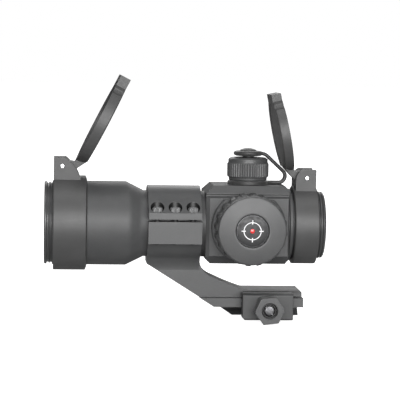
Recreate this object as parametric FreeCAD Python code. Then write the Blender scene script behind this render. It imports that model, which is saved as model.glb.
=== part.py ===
import FreeCAD, Part
import math
import os

# Tube red dot sight on a cantilever rail mount, with flip-open lens covers.
# Millimetres.  Origin: centre of the rail seat, under the cross bolt.
# +X points to the eyepiece, +Y to the sight's right-hand side, +Z up.

V = FreeCAD.Vector

# ---- driving dimensions -------------------------------------------------------------------
AXIS_Z = 37.0            # optical axis above the rail
TUBE_R = 15.0            # 30 mm tube
TUBE_BORE_R = 13.5
BELL_R = 19.0
BELL_BORE_R = 17.5
BELL_FRONT_X = -97.0
BELL_TAPER_X = -63.8     # end of the straight bell
TUBE_START_X = -55.8     # end of the taper
NECK_END_X = 22.6

RING_FRONT_X = -54.3     # mount ring
RING_REAR_X = -30.4
RING_R = 17.4
RING_BORE_R = 15.05
FLANGE_Y = 20.5
FLANGE_TOP = 6.4         # heights from here on are above the optical axis
SPLIT_TOP = 3.5
SPLIT_BOTTOM = 2.4
FLANGE_BOTTOM = -7.4
SCREW_Y = 17.4
SCREW_PITCH = 8.0
SCREW_HEAD_R = 2.3
SCREW_SHANK_R = 1.25
SCREW_TIP = -8.0         # just through the lower flanges

BLOCK_FRONT_X = -28.4    # control housing
BLOCK_REAR_X = 8.9
BLOCK_TOP = 18.3
BLOCK_BOTTOM = -16.8
BLOCK_HALF_Y = 16.0
BOSS_FACE = 18.2         # knob boss, from the axis outwards
BOSS_R = 16.8

TURRET_X = -8.5
KNOB_X = -9.4
CAP_R = 9.45
KNURL_RIBS = 48
STRAP_HALF_THICK = 0.85
PLUNGER_R = 1.6

PIVOT_X = -86.0          # gimbal centre of the inner tube
INNER_R = 11.2
INNER_BORE_R = 10.2
CELL_R = 15.3
CELL_BORE_R = 14.0
TUBE_FLAT = 10.95        # flats the adjusters press on
RUNNING = 0.05           # radial clearance of a running fit

PIN_R = 1.0              # cover hinges
EAR_OUTER_Y = 8.0
EAR_INNER_Y = 5.5
LID_ARM_Y = 5.2
LID_WALL = 0.8
SPRING_GAP_Y = 1.6

FRONT_PIN_X = -92.6
FRONT_PIN_Z = 63.0
FRONT_COVER_R = 21.4
FRONT_COVER_X = (-96.5, -81.5)
FRONT_OPEN_DEG = 207.0   # swing from closed to open

REAR_PIN_X = 17.7
REAR_PIN_Z = 58.75
REAR_COVER_R = 17.8
REAR_COVER_X = (11.6, 22.5)
REAR_EAR_X = 21.9
REAR_OPEN_DEG = 191.6

BASE_TOP = 7.9           # rail base; heights above the rail
BASE_REAR_X = 16.8
BASE_TOP_HALF_Y = 7.0
ARM_SLOPE = 0.625        # fall of the arm's under side
BOLT_Z = 0.4
BOLT_R = 2.5
CLAMP_Y = (10.9, 17.0)
CLAMP_HALF_X = 11.4
CLAMP_TOP = 7.25
NUT_FLATS = 11.7
NUT_Y = (17.05, 25.0)
NUT_TURN_DEG = 6.5


# ---- helpers ------------------------------------------------------------------------------
def box(x0, x1, y0, y1, z0, z1):
    return Part.makeBox(x1 - x0, y1 - y0, z1 - z0, V(x0, y0, z0))


def rod(start, direction, radius, length):
    return Part.makeCylinder(radius, length, start, direction)


def join(first, *others):
    return first.fuse(list(others)).removeSplitter()


def outline(points):
    return Part.Face(Part.makePolygon([V(*p) for p in points] + [V(*points[0])]))


def along_x(points, x0, x1):
    """Solid with a (y, z) outline between two x planes."""
    return outline([(x0, y, z) for y, z in points]).extrude(V(x1 - x0, 0, 0))


def along_y(points, y0, y1):
    """Solid with an (x, z) outline between two y planes."""
    return outline([(x, y0, z) for x, z in points]).extrude(V(0, y1 - y0, 0))


def along_z(points, z0, z1):
    """Solid with an (x, y) outline between two z planes."""
    return outline([(x, y, z0) for x, y in points]).extrude(V(0, 0, z1 - z0))


def turned(points):
    """Solid of revolution about Z from (radius, height) points."""
    return outline([(r, 0, h) for r, h in points]).revolve(V(0, 0, 0), V(0, 0, 1), 360)


def tube_turned(points):
    """Solid of revolution about the optical axis from (x, radius) points."""
    face = outline([(x, 0, AXIS_Z + r) for x, r in points])
    return face.revolve(V(0, 0, AXIS_Z), V(1, 0, 0), 360)


def on_axis(x0, x1, radius):
    return rod(V(x0, 0, AXIS_Z), V(1, 0, 0), radius, x1 - x0)


def mirrored(points):
    """Closes a right-hand (y, z) half outline with its left-hand half."""
    return points + [(-y, z) for y, z in reversed(points)]


def raised(points):
    """Moves (y or x, height above the axis) points up to the optical axis."""
    return [(a, AXIS_Z + h) for a, h in points]


def star(outer, inner, ribs, h0, h1):
    """Prism with pointed ribs round Z, for knurling."""
    points = []
    for i in range(ribs):
        for radius, step in ((inner, 0.0), (outer, 0.35), (outer, 0.65)):
            angle = 2 * math.pi * (i + step) / ribs
            points.append((radius * math.cos(angle), radius * math.sin(angle)))
    return along_z(points, h0, h1)


def torus(major, minor, height):
    return Part.makeTorus(major, minor, V(0, 0, height), V(0, 0, 1))


def coil(radius, wire_r, pitch, turns, height):
    """Round-wire coil about Z that starts at the given height."""
    path = Part.makeHelix(pitch, pitch * turns, radius)
    section = Part.Wire(Part.Circle(V(radius, 0, 0), V(0, 1, 0), wire_r).toShape())
    wire = Part.Wire(path).makePipeShell([section], True, True)
    wire.translate(V(0, 0, height))
    return wire


def mounted(shape, x, tilt_deg):
    """Puts a part built about Z on the optical axis: 0 top, -90 right (+Y), 90 left (-Y)."""
    placed = shape.copy()
    placed.rotate(V(0, 0, 0), V(1, 0, 0), tilt_deg)
    placed.translate(V(x, 0, AXIS_Z))
    return placed


# ---- body tube ----------------------------------------------------------------------------
def control_block():
    half = [
        (12.8, BLOCK_TOP), (15.0, 15.1), (15.0, 14.7), (14.3, 14.3),
        (14.3, 13.7), (BLOCK_HALF_Y, 12.9), (BLOCK_HALF_Y, -13.0), (12.5, BLOCK_BOTTOM),
    ]
    section = along_x(mirrored(raised(half)), BLOCK_FRONT_X, BLOCK_REAR_X)
    side = [
        (BLOCK_FRONT_X, 14.9), (-24.9, BLOCK_TOP), (7.4, BLOCK_TOP), (BLOCK_REAR_X, 16.6),
        (BLOCK_REAR_X, -15.0), (7.7, BLOCK_BOTTOM), (-26.2, BLOCK_BOTTOM), (BLOCK_FRONT_X, -14.7),
    ]
    plan = [(BLOCK_FRONT_X, 15.1), (-26.8, BLOCK_HALF_Y), (8.4, BLOCK_HALF_Y), (BLOCK_REAR_X, 15.5)]
    plan = plan + [(x, -y) for x, y in reversed(plan)]
    block = section.common(along_y(raised(side), -20, 20))
    return block.common(along_z(plan, AXIS_Z - 20, AXIS_Z + 20))


def side_bosses():
    chamfer = 0.6
    knob_boss = turned([
        (0, 12), (BOSS_R, 12), (BOSS_R, BOSS_FACE - chamfer),
        (BOSS_R - chamfer, BOSS_FACE), (0, BOSS_FACE),
    ])
    knob_boss = mounted(knob_boss, KNOB_X, 90)
    knob_boss = knob_boss.cut(box(-40, 20, -20, 0, AXIS_Z + 12.5, AXIS_Z + 20))
    turret_boss = turned([
        (0, 12), (10.8, 12), (10.8, BLOCK_TOP - chamfer), (10.2, BLOCK_TOP), (0, BLOCK_TOP),
    ])
    return knob_boss, mounted(turret_boss, TURRET_X, -90)


def main_housing():
    shell = tube_turned([
        (BELL_FRONT_X, 0), (BELL_FRONT_X, BELL_R - 0.3), (BELL_FRONT_X + 0.3, BELL_R),
        (BELL_TAPER_X, BELL_R), (TUBE_START_X, TUBE_R), (BLOCK_REAR_X, TUBE_R),
        (9.5, TUBE_R), (9.5, 16.2), (9.7, 16.4), (10.7, 16.4), (10.9, 16.2), (10.9, TUBE_R),
        (NECK_END_X, TUBE_R), (NECK_END_X, 0),
    ])
    body = join(shell, control_block(), *side_bosses())
    bore = tube_turned([
        (BELL_FRONT_X - 1, 0), (BELL_FRONT_X - 1, BELL_BORE_R), (-66.0, BELL_BORE_R),
        (-57.5, TUBE_BORE_R), (12.0, TUBE_BORE_R), (12.0, 12.0), (16.9, 12.0),
        (16.9, 13.0), (NECK_END_X + 1, 13.0), (NECK_END_X + 1, 0),
    ])
    turret_hole = rod(V(0, 0, 8), V(0, 0, 1), 5.5, 14)
    knob_pocket = rod(V(0, 0, 12.5), V(0, 0, 1), 12.0, 8)
    body = body.cut([
        bore,
        mounted(turret_hole, TURRET_X, 0),
        mounted(turret_hole, TURRET_X, -90),
        mounted(knob_pocket, KNOB_X, 90),
    ])
    for side in (-1, 1):
        start = V(PIVOT_X, side * 17.0, AXIS_Z)
        body = body.cut(rod(start, V(0, side, 0), 0.8, 1.6))
    return body


def front_lock_ring():
    return tube_turned([
        (-94.6, 16.2), (-94.6, 17.45), (-97.0, 17.45), (-97.0, 18.0), (-97.9, 18.0),
        (-98.0, 18.5), (-98.4, 18.5), (-98.5, 17.9), (-99.2, 17.9), (-99.4, 18.7),
        (-100.2, 18.8), (-100.6, 18.3), (-100.6, 17.4), (-98.9, 15.4), (-96.6, 15.0),
        (-96.2, 15.2),
    ])


# ---- inner tube, lens and emitter -----------------------------------------------------------
def inner_tube():
    tube = tube_turned([
        (-93.8, CELL_BORE_R), (-93.8, CELL_R - 0.3), (-93.5, CELL_R), (-79.0, CELL_R),
        (-71.0, INNER_R), (5.0, INNER_R), (5.0, 9.4), (3.8, 9.4), (3.8, INNER_BORE_R),
        (-71.5, INNER_BORE_R), (-80.0, 13.0), (-87.4, 13.0), (-87.4, CELL_BORE_R),
    ])
    flat = 3.0
    top = AXIS_Z + TUBE_FLAT
    tube = tube.cut(box(TURRET_X - flat, TURRET_X + flat, -6, 6, top, top + 3))
    tube = tube.cut(box(TURRET_X - flat, TURRET_X + flat, TUBE_FLAT, TUBE_FLAT + 3,
                        AXIS_Z - 6, AXIS_Z + 6))
    for side in (-1, 1):
        start = V(PIVOT_X, 0, AXIS_Z + side * 14.1)
        tube = tube.cut(rod(start, V(0, 0, side), 0.8, 2))
    return tube.cut(led_holder())


def domed(edge_r, rise):
    """Radius of the sphere that rises by a height over an edge radius."""
    return (edge_r ** 2 + rise ** 2) / (2 * rise)


def objective_lens():
    """Meniscus lens with its hollow side to the rear."""
    radius = CELL_BORE_R - 0.1
    bulge = 1.0
    rear_edge = -87.45
    thickness = 3.75
    sphere_r = domed(radius, bulge)
    blank = on_axis(rear_edge - thickness - bulge, rear_edge, radius)
    rear_apex = rear_edge - bulge
    front_ball = Part.makeSphere(sphere_r, V(rear_apex - thickness + sphere_r, 0, AXIS_Z))
    rear_ball = Part.makeSphere(sphere_r, V(rear_apex + sphere_r, 0, AXIS_Z))
    return blank.common(front_ball).cut(rear_ball)


def lens_retaining_ring():
    return tube_turned([
        (-91.35, 13.2), (-91.35, CELL_BORE_R), (-93.6, CELL_BORE_R), (-93.6, 13.6), (-92.4, 13.2),
    ])


def gimbal_ring():
    ring = on_axis(PIVOT_X - 2.5, PIVOT_X + 2.5, 17.1).cut(
        on_axis(PIVOT_X - 3, PIVOT_X + 3, 15.7))
    for direction in (V(0, 1, 0), V(0, 0, 1)):
        start = V(PIVOT_X, 0, AXIS_Z) - direction * 20
        ring = ring.cut(rod(start, direction, 0.8 + RUNNING, 40))
    return ring


def pivot_pins(direction, r0, r1):
    pins = []
    for side in (-1, 1):
        start = V(PIVOT_X, 0, AXIS_Z) + direction * (side * r0)
        pins.append(rod(start, direction * side, 0.8, r1 - r0))
    return Part.makeCompound(pins)


def led_holder():
    return box(-6.0, -1.0, -2.0, 2.0, AXIS_Z - INNER_R + 0.2, AXIS_Z - 7.8)


def led_emitter():
    return rod(V(-6.9, 0, AXIS_Z - 8.9), V(1, 0, 0), 0.6, 0.9)


def bias_spring():
    """Bowed leaf that presses the inner tube against both adjusters."""
    bow = [(-24.0, 13.35), (-21.0, 13.2), (-13.0, 12.95), (-4.0, 12.95), (4.0, 13.2), (7.0, 13.35)]
    under = [(x, h - 0.22) for x, h in reversed(bow)]
    leaf = along_y([(x, h) for x, h in bow + under], -2.5, 2.5)
    leaf.rotate(V(0, 0, 0), V(1, 0, 0), 135)
    leaf.translate(V(0, 0, AXIS_Z))
    return leaf.common(on_axis(-30, 10, TUBE_BORE_R - 0.02))


# ---- eyepiece -------------------------------------------------------------------------------
def rear_window():
    return on_axis(17.4, 19.0, 12.4)


def rear_window_seal():
    return on_axis(17.4, 19.0, 13.0).cut(on_axis(17, 20, 12.4))


def eyepiece_ring():
    return tube_turned([
        (19.05, 11.9), (19.05, 13.0), (NECK_END_X + 0.1, 13.0), (NECK_END_X + 0.1, 14.6),
        (23.4, 14.6), (23.6, 15.2), (24.2, 15.3), (24.5, 14.8), (24.8, 14.8), (25.0, 15.2),
        (25.6, 15.0), (26.0, 14.4), (26.0, 13.6), (24.6, 12.2),
    ])


# ---- adjuster turrets, built about Z with heights above the optical axis ---------------------
def turret_base():
    return turned([
        (PLUNGER_R + RUNNING, 14.2), (5.5, 14.2), (5.5, BLOCK_TOP), (6.9, BLOCK_TOP),
        (6.9, 27.2), (6.6, 27.5), (5.3, 27.5), (5.3, 21.0), (PLUNGER_R + RUNNING, 21.0),
    ])


def turret_dial():
    dial = turned([
        (0, 24.9), (PLUNGER_R + RUNNING, 24.9), (PLUNGER_R + RUNNING, 21.1), (5.22, 21.1),
        (5.22, 26.3), (0, 26.3),
    ])
    dial = dial.cut(box(-6, 6, -0.7, 0.7, 25.3, 27))
    for i in range(12):
        tick = box(4.2, 4.9, -0.12, 0.12, 26.1, 27)
        tick.rotate(V(0, 0, 0), V(0, 0, 1), 15 + 30 * i)
        dial = dial.cut(tick)
    return dial


def dial_clip():
    clip = turned([(4.5, 26.4), (5.3, 26.4), (5.3, 27.0), (4.5, 27.0)])
    return clip.cut(box(2, 6, -1.2, 1.2, 26, 28))


def turret_plunger():
    tip = TUBE_FLAT + 0.1
    ball = Part.makeSphere(PLUNGER_R, V(0, 0, tip + PLUNGER_R))
    stem = rod(V(0, 0, tip + PLUNGER_R), V(0, 0, 1), PLUNGER_R, 23.8 - tip - PLUNGER_R)
    return join(ball, stem)


def turret_cap():
    cap = turned([
        (7.0, 20.2), (8.4, 20.2), (8.7, 20.5), (8.7, 21.3), (8.9, 21.6), (CAP_R, 22.0),
        (CAP_R, 27.6), (8.95, 28.3), (8.95, 29.7), (8.0, 30.4), (7.6, 30.5), (0, 30.5), (0, 28.3),
        (7.0, 28.3),
    ])
    knurl = star(CAP_R, CAP_R - 0.35, KNURL_RIBS, 21.7, 28.2)
    smooth_below = rod(V(0, 0, 20), V(0, 0, 1), 12, 1.7)
    smooth_above = rod(V(0, 0, 28.2), V(0, 0, 1), 12, 3)
    cap = cap.common(join(knurl, smooth_below, smooth_above))
    return cap.cut(rod(V(0, 0, 28), V(0, 0, 1), 1.5, 3))


def cap_button():
    """Domed rivet that holds the strap's disc on the cap."""
    head_r = 3.7
    head_low = 33.55
    rim = 0.35
    rise = 0.9
    stem = turned([(0, 29.2), (1.45, 29.2), (1.45, 30.55), (2.6, 30.55), (2.6, head_low), (0, head_low)])
    ball_r = domed(head_r, rise)
    ball = Part.makeSphere(ball_r, V(0, 0, head_low + rim + rise - ball_r))
    head = rod(V(0, 0, head_low), V(0, 0, 1), head_r, rim + rise + 1).common(ball)
    return join(stem, head)


def tether_strap():
    """Flat strap that leaves the base ring, folds back and climbs to the cap's disc."""
    low = 19.2
    bend = V(14.0, 0, 22.2)
    bend_r = bend.z - low
    climb = math.radians(47)
    uphill = V(-math.sin(climb), 0, math.cos(climb))
    leave = bend + V(math.cos(climb), 0, math.sin(climb)) * bend_r
    crest = leave + uphill * 9.84
    level_r = 4.5
    level_centre = crest - V(math.cos(climb), 0, math.sin(climb)) * level_r
    half_angle = (math.pi / 2 - climb) / 2
    middle = level_centre + V(math.sin(half_angle), 0, math.cos(half_angle)) * level_r
    path = Part.Wire([
        Part.makeLine(V(8.0, 0, low), V(bend.x, 0, low)),
        Part.Arc(V(bend.x, 0, low), bend + V(bend_r, 0, 0), leave).toShape(),
        Part.makeLine(leave, crest),
        Part.Arc(crest, middle, level_centre + V(0, 0, level_r)).toShape(),
    ])
    flat = path.makeOffset2D(STRAP_HALF_THICK, 0, True, True, False)
    return flat.extrude(V(0, 4.0, 0)).translated(V(0, -2.0, 0))


def turret_tether():
    base_ring = turned([(6.95, 18.35), (9.0, 18.35), (9.2, 18.6), (9.2, 19.8), (9.0, 20.0),
                        (6.95, 20.0)])
    disc = turned([
        (2.65, 31.2), (5.6, 31.2), (6.3, 31.5), (6.65, 32.1), (6.65, 32.7), (6.2, 33.25),
        (5.4, 33.5), (2.65, 33.5),
    ])
    strap = tether_strap().cut(rod(V(0, 0, 15), V(0, 0, 1), 2.65, 20))
    return join(base_ring, disc, strap)


# ---- brightness knob and battery, built about Z, heights out from the optical axis ------------
def knob_base():
    base = turned([
        (2.0 + RUNNING, 16.0), (12.0, 16.0), (12.0, BOSS_FACE), (14.2, BOSS_FACE), (14.2, 19.8),
        (14.0, 20.0), (6.0, 20.0), (6.0, 23.0), (2.0 + RUNNING, 23.0),
    ])
    return base.cut(rod(V(9.5, 0, 17.0), V(0, 0, 1), 1.05, 5))


def detent_ball():
    return Part.makeSphere(1.0, V(9.5, 0, 20.0))


def detent_spring():
    return coil(0.7, 0.15, 0.5, 3.5, 17.2).translated(V(9.5, 0, 0))


def brightness_knob():
    knob = turned([
        (0, 13.5), (2.0, 13.5), (2.0, 15.25), (1.7, 15.25), (1.7, 15.95), (2.0, 15.95),
        (2.0, 23.1), (6.0 + RUNNING, 23.1), (6.0 + RUNNING, 20.4), (15.4, 20.4), (15.9, 20.9),
        (15.9, 30.2), (15.2, 31.0), (13.0, 31.0), (13.0, 30.1), (12.1, 30.1), (12.1, 27.7),
        (10.3, 27.7), (10.3, 25.4), (0, 25.4),
    ])
    for i in range(20):
        angle = math.radians(18 * i + 4)
        foot = V(17.0 * math.cos(angle), 17.0 * math.sin(angle), 20)
        knob = knob.cut(rod(foot, V(0, 0, 1), 1.9, 12))
    for i in range(12):
        angle = math.radians(30 * i)
        knob = knob.cut(Part.makeSphere(1.08, V(9.5 * math.cos(angle), 9.5 * math.sin(angle), 20.0)))
    return knob


def knob_clip():
    clip = turned([(1.75, 15.3), (3.4, 15.3), (3.4, 15.9), (1.75, 15.9)])
    return clip.cut(box(0, 4, -1.1, 1.1, 15, 16))


def switch_wiper():
    hub = turned([(0, 12.95), (2.6, 12.95), (2.6, 13.5), (0, 13.5)])
    arm = box(0, 8.5, -0.9, 0.9, 13.15, 13.4)
    return join(hub, arm)


def switch_board():
    board = rod(V(0, 0, 14.2), V(0, 0, 1), 11.0, 1.0)
    return board.cut(rod(V(0, 0, 14), V(0, 0, 1), 2.4, 2))


def battery():
    return turned([
        (0, 26.5), (8.6, 26.5), (9.0, 26.8), (9.8, 27.0), (10.0, 27.3), (10.0, 29.5),
        (9.8, 29.7), (0, 29.7),
    ])


def battery_contact_spring():
    return coil(4.0, 0.25, 0.9, 0.55, 25.7)


def battery_cap():
    return turned([
        (0, 30.0), (10.5, 30.0), (10.5, 27.9), (11.6, 27.9), (11.95, 28.2), (11.95, 31.2),
        (14.7, 31.2), (15.1, 31.6), (15.1, 33.8), (14.8, 34.3), (14.4, 34.42), (8.2, 34.95),
        (7.4, 34.8), (7.2, 34.4), (7.2, 33.4), (0, 33.4),
    ])


def battery_cap_o_ring():
    return torus(12.5, 0.4, 30.6)


def knob_badge():
    return turned([(0, 33.4), (7.1, 33.4), (7.1, 33.95), (6.95, 34.1), (0, 34.1)])


# ---- ring mount -------------------------------------------------------------------------------
def screw_stations():
    middle = (RING_FRONT_X + RING_REAR_X) / 2
    for step in (-1, 0, 1):
        for side in (-1, 1):
            yield middle + step * SCREW_PITCH, side * SCREW_Y


def ring_cap():
    """Upper ring half: round crown, tangent shoulders down to the screw flanges."""
    touch_y = RING_R * 0.6
    touch_h = RING_R * 0.8
    half = [(touch_y, touch_h), (FLANGE_Y, FLANGE_TOP), (FLANGE_Y, SPLIT_TOP)]
    shoulders = along_x(mirrored(raised(half)), RING_FRONT_X, RING_REAR_X)
    cap = join(shoulders, on_axis(RING_FRONT_X, RING_REAR_X, RING_R))
    cap = cap.cut(box(-60, -25, -30, 30, 0, AXIS_Z + SPLIT_TOP))
    cap = cap.cut(on_axis(-60, -25, RING_BORE_R))
    for x, y in screw_stations():
        cap = cap.cut(rod(V(x, y, AXIS_Z + 6.2), V(0, 0, 1), 2.95, 12))
        cap = cap.cut(rod(V(x, y, AXIS_Z), V(0, 0, 1), 1.35, 12))
    return cap


def ring_screws():
    screws = []
    for x, y in screw_stations():
        head = turned([(0, 6.25), (SCREW_HEAD_R, 6.25), (SCREW_HEAD_R, 8.5), (2.0, 8.8), (0, 8.8)])
        shank = rod(V(0, 0, SCREW_TIP), V(0, 0, 1), SCREW_SHANK_R, 6.3 - SCREW_TIP)
        socket = Part.makePolygon([V(1.15 * math.cos(math.radians(60 * i)),
                                     1.15 * math.sin(math.radians(60 * i)), 7.5) for i in range(7)])
        screw = join(head, shank).cut(Part.Face(socket).extrude(V(0, 0, 3)))
        screw.translate(V(x, y, AXIS_Z))
        screws.append(screw)
    return Part.makeCompound(screws)


def lower_ring():
    """Lower ring half with flange blocks, flared into the width of the arm."""
    blocks = along_x(mirrored(raised([(FLANGE_Y, SPLIT_BOTTOM), (FLANGE_Y, FLANGE_BOTTOM)])),
                     RING_FRONT_X, RING_REAR_X)
    flare = []
    for side in (-1, 1):
        profile = Part.Wire([
            Part.Arc(V(0, side * 11.2, AXIS_Z - 13.3), V(0, side * 8.2, AXIS_Z - 16.4),
                     V(0, side * 7.0, AXIS_Z - 20.5)).toShape(),
            Part.makePolygon([V(0, side * 7.0, AXIS_Z - 20.5), V(0, 0, AXIS_Z - 20.5),
                              V(0, 0, AXIS_Z - 13.3), V(0, side * 11.2, AXIS_Z - 13.3)]),
        ])
        piece = Part.Face(profile).extrude(V(RING_REAR_X - RING_FRONT_X, 0, 0))
        flare.append(piece.translated(V(RING_FRONT_X, 0, 0)))
    lower = join(blocks, on_axis(RING_FRONT_X, RING_REAR_X, RING_R), *flare)
    lower = lower.cut(box(-60, -25, -30, 30, AXIS_Z + SPLIT_BOTTOM, AXIS_Z + 30))
    lower = lower.cut(on_axis(-60, -25, RING_BORE_R))
    for x, y in screw_stations():
        lower = lower.cut(rod(V(x, y, AXIS_Z - 12), V(0, 0, 1), SCREW_SHANK_R, 20))
    return lower


def cantilever_arm():
    """Side profile of the arm: concave top, straight sloping under side."""
    half = BASE_TOP_HALF_Y
    toe_x = RING_FRONT_X + (AXIS_Z - RING_R - 0.3) / ARM_SLOPE
    profile = Part.Wire([
        Part.makePolygon([V(RING_REAR_X, -half, 24.0), V(RING_REAR_X, -half, 20.4)]),
        Part.Arc(V(RING_REAR_X, -half, 20.4), V(-28.4, -half, 16.1), V(-24.5, -half, 13.5)).toShape(),
        Part.Arc(V(-24.5, -half, 13.5), V(-18.0, -half, 10.6), V(-10.5, -half, BASE_TOP)).toShape(),
        Part.makePolygon([
            V(-10.5, -half, BASE_TOP), V(-10.5, -half, 4.4), V(-20.0, -half, 0.0),
            V(toe_x, -half, 0.0), V(RING_FRONT_X, -half, AXIS_Z - RING_R - 0.3),
            V(RING_FRONT_X, -half, 24.0), V(RING_REAR_X, -half, 24.0),
        ]),
    ])
    arm = Part.Face(profile).extrude(V(0, 2 * half, 0))
    return arm.cut(on_axis(-60, -25, RING_R - 0.5))


def rail_base():
    """Rail block with side grooves and the fixed claw on the right-hand side."""
    section = [
        (-BASE_TOP_HALF_Y, BASE_TOP), (-BASE_TOP_HALF_Y, 7.1), (-4.2, 7.1), (-4.2, 4.4),
        (-10.2, 4.4), (-10.4, 4.2), (-10.4, 0.25), (-7.6, 0.25), (-7.6, 0.0), (8.0, 0.0),
        (10.8, -2.8), (10.8, -3.0), (8.2, -5.6), (8.4, -6.0), (13.4, -6.0), (14.4, -5.0),
        (14.4, 3.4), (13.4, 4.4), (4.2, 4.4), (4.2, 7.1), (BASE_TOP_HALF_Y, 7.1),
        (BASE_TOP_HALF_Y, BASE_TOP),
    ]
    block = along_x(section, -36.0, BASE_REAR_X)
    rear_corner = [(BASE_REAR_X - 1.8, BASE_TOP + 0.1), (BASE_REAR_X + 0.1, BASE_TOP + 0.1),
                   (BASE_REAR_X + 0.1, BASE_TOP - 1.7)]
    return block.cut(along_y(rear_corner, -30, 30))


def mount_base():
    body = join(lower_ring(), cantilever_arm(), rail_base())
    knee = (RING_FRONT_X - 1, AXIS_Z - RING_R - 0.3 + ARM_SLOPE)
    low_z = knee[1] - (20.0 - knee[0]) * ARM_SLOPE
    body = body.cut(along_y([knee, (20.0, low_z), (-80, low_z), (-80, knee[1])], -30, 30))
    body = body.cut(rod(V(0, -30, BOLT_Z), V(0, 1, 0), BOLT_R + 0.2, 60))
    return body.cut(rod(V(0, 13.0, BOLT_Z), V(0, 1, 0), 4.4, 10))


def clamp_plate():
    """Jaw that hooks into the base groove and grips under the rail's edge."""
    inner, outer = CLAMP_Y
    section = [
        (-inner, 6.6), (-inner, CLAMP_TOP), (-outer + 0.9, CLAMP_TOP), (-outer, CLAMP_TOP - 0.9),
        (-outer, -4.3),
        (-outer + 0.5, -4.8), (-9.2, -4.8), (-9.0, -4.6), (-10.8, -2.8), (-inner, -2.6), (-inner, 5.0),
        (-7.6, 5.0), (-7.6, 6.6),
    ]
    plate = along_x(section, -CLAMP_HALF_X, CLAMP_HALF_X)
    side = [
        (-CLAMP_HALF_X, CLAMP_TOP), (CLAMP_HALF_X, CLAMP_TOP), (CLAMP_HALF_X, -4.8),
        (-CLAMP_HALF_X + 1.0, -4.8), (-CLAMP_HALF_X, -3.8),
    ]
    plate = plate.common(along_y(side, -20, 0))
    return plate.cut(rod(V(0, -30, BOLT_Z), V(0, 1, 0), BOLT_R + RUNNING, 30))


def clamp_bolt():
    head = rod(V(0, 13.05, BOLT_Z), V(0, 1, 0), 4.2, 3.0)
    shank = rod(V(0, -23.3, BOLT_Z), V(0, 1, 0), BOLT_R, 37)
    tip = rod(V(0, -23.8, BOLT_Z), V(0, 1, 0), BOLT_R - 0.4, 1.0)
    socket = rod(V(0, 14.2, BOLT_Z), V(0, 1, 0), 2.2, 3.0)
    return join(head, shank, tip).cut(socket)


def clamp_nut():
    corner_r = NUT_FLATS / math.sqrt(3)
    near, far = NUT_Y
    points = []
    for i in range(6):
        angle = math.radians(60 * i + NUT_TURN_DEG)
        points.append((corner_r * math.cos(angle), BOLT_Z + corner_r * math.sin(angle)))
    nut = along_y(points, -far, -near)
    cone = Part.makeCone(corner_r - 0.35, corner_r + 7.6, 8.0, V(0, -far, BOLT_Z), V(0, 1, 0))
    nut = nut.common(cone)
    nut = nut.cut(rod(V(0, -30, BOLT_Z), V(0, 1, 0), BOLT_R + RUNNING, 30))
    return nut.cut(rod(V(0, -far - 1, BOLT_Z), V(0, 1, 0), 3.7, 5.0))


# ---- flip covers --------------------------------------------------------------------------------
# Lids are built closed, about the hinge pin: x outwards from the sight, z up.
def lid_closed(pin_z, cover_r, inner, outer, cavity_r, tab_end, tab_half):
    centre_z = AXIS_Z - pin_z
    edge = 0.5
    disc = outline([
        (inner, 0, 0), (inner, 0, cover_r), (outer - edge, 0, cover_r),
        (outer, 0, cover_r - edge), (outer, 0, 0),
    ]).revolve(V(0, 0, 0), V(1, 0, 0), 360)
    disc.translate(V(0, 0, centre_z))
    wedge = [(inner + 0.4, centre_z + cover_r + 0.1), (outer + 1, centre_z + cover_r + 0.1),
             (outer + 1, -7.2), (outer, -6.7)]
    disc = disc.cut(along_y(wedge, -30, 30))
    arm_profile = [
        (0, 2.8), (3.6, 2.0), (6.3, -1.8), (outer, -6.7), (outer, -9.0), (inner, -9.0),
        (inner, -4.0), (0, -2.8),
    ]
    arm = along_y(arm_profile, -LID_ARM_Y, LID_ARM_Y)
    barrel = rod(V(0, -LID_ARM_Y, 0), V(0, 1, 0), 2.8, 2 * LID_ARM_Y)
    tab = box(inner, outer, -tab_half, tab_half, tab_end, centre_z - cover_r * 0.6)
    lid = join(disc, arm, barrel, tab)
    scoop_r = 3.2
    reach = cover_r + 2.6
    scoop_y = tab_half + scoop_r * 1.5
    scoop_z = centre_z - math.sqrt(reach ** 2 - scoop_y ** 2)
    for side in (-1, 1):
        lid = lid.cut(rod(V(0, side * scoop_y, scoop_z), V(1, 0, 0), scoop_r, 20))
    lid = lid.cut(rod(V(inner - 1, 0, centre_z), V(1, 0, 0), cavity_r, outer - inner - LID_WALL + 1))
    dish = rod(V(outer - 0.25, 0, centre_z), V(1, 0, 0), cover_r - 3.5, 2)
    lid = lid.cut(dish)
    lid = lid.cut(rod(V(0, -10, 0), V(0, 1, 0), PIN_R + RUNNING, 20))
    return lid.cut(rod(V(0, -SPRING_GAP_Y, 0), V(0, 1, 0), 3.3, 2 * SPRING_GAP_Y))


def front_cover_lid():
    lid = lid_closed(FRONT_PIN_Z, FRONT_COVER_R, 4.2, 9.0, 20.0, -48.2, 12.5)
    lid = lid.mirror(V(0, 0, 0), V(1, 0, 0))
    lid.rotate(V(0, 0, 0), V(0, 1, 0), FRONT_OPEN_DEG)
    lid.translate(V(FRONT_PIN_X, 0, FRONT_PIN_Z))
    return lid


def rear_cover_lid():
    lid = lid_closed(REAR_PIN_Z, REAR_COVER_R, 4.9, 9.3, 16.4, -40.0, 9.5)
    lid.rotate(V(0, 0, 0), V(0, 1, 0), -REAR_OPEN_DEG)
    lid.translate(V(REAR_PIN_X, 0, REAR_PIN_Z))
    return lid


def ear_pair(profile):
    ears = []
    for y in (-EAR_OUTER_Y, EAR_INNER_Y):
        ears.append(profile.extrude(V(0, EAR_OUTER_Y - EAR_INNER_Y, 0)).translated(V(0, y, 0)))
    return ears


def cover_ring(band, ears, pin_x, pin_z, bore_r):
    ring = join(band, *ears)
    ring = ring.cut(on_axis(-120, 60, bore_r))
    return ring.cut(rod(V(pin_x, -10, pin_z), V(0, 1, 0), PIN_R, 20))


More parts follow.
